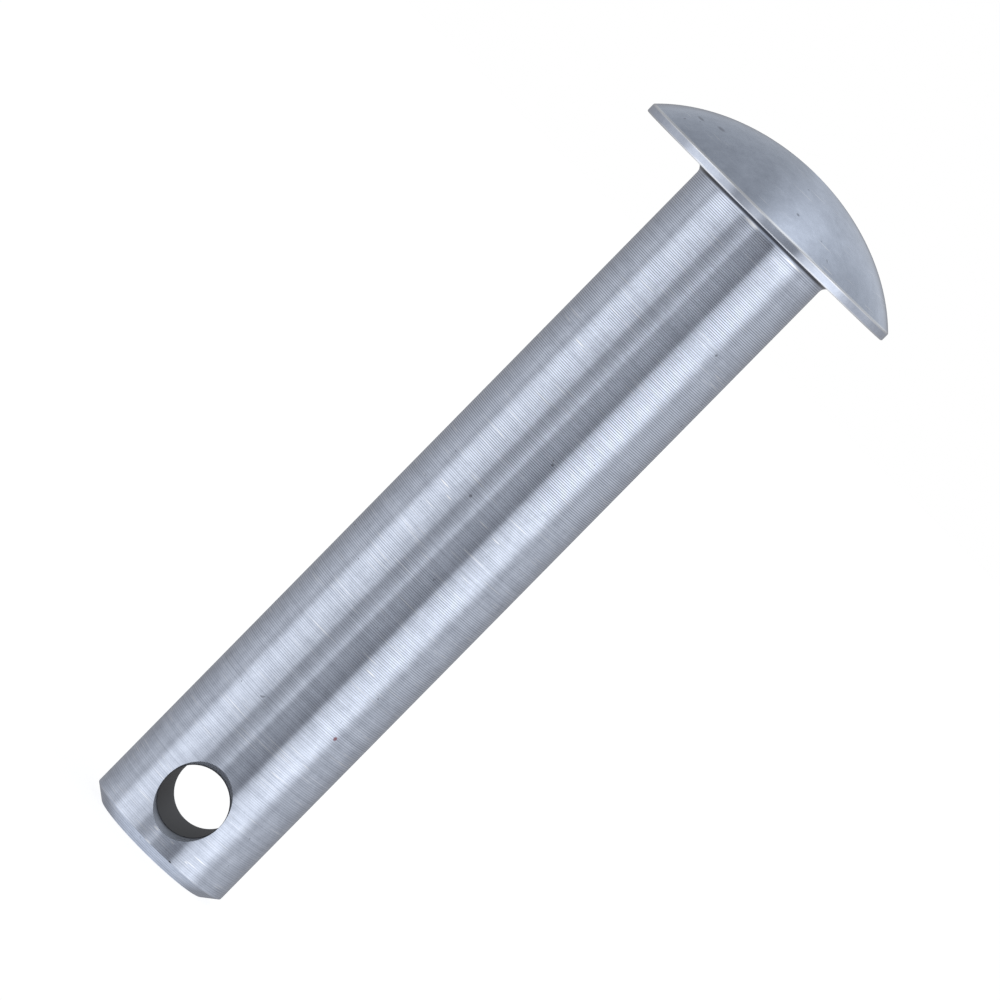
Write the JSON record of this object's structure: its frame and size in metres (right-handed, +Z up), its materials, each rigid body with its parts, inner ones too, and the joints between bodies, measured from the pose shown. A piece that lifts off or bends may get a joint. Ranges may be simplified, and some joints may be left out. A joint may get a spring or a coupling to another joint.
{
  "type": "clevis pin",
  "caption": "Domed-head clevis pin: smooth round shank with a chamfered free end, and a cross hole near it for a split pin or spring clip.",
  "frame": {"origin": "centre of the flat end face at the free end", "axes": "+Z up the shank to the head, Y along the split pin's hole"},
  "size_m": [0.0192, 0.0192, 0.0556],
  "materials": {
    "turned_steel": "bare turned stainless steel: fine rings round the shank, satin dome"
  },
  "bodies": {
    "root": {"clevis_pin": "turned_steel"}
  },
  "joints": []
}
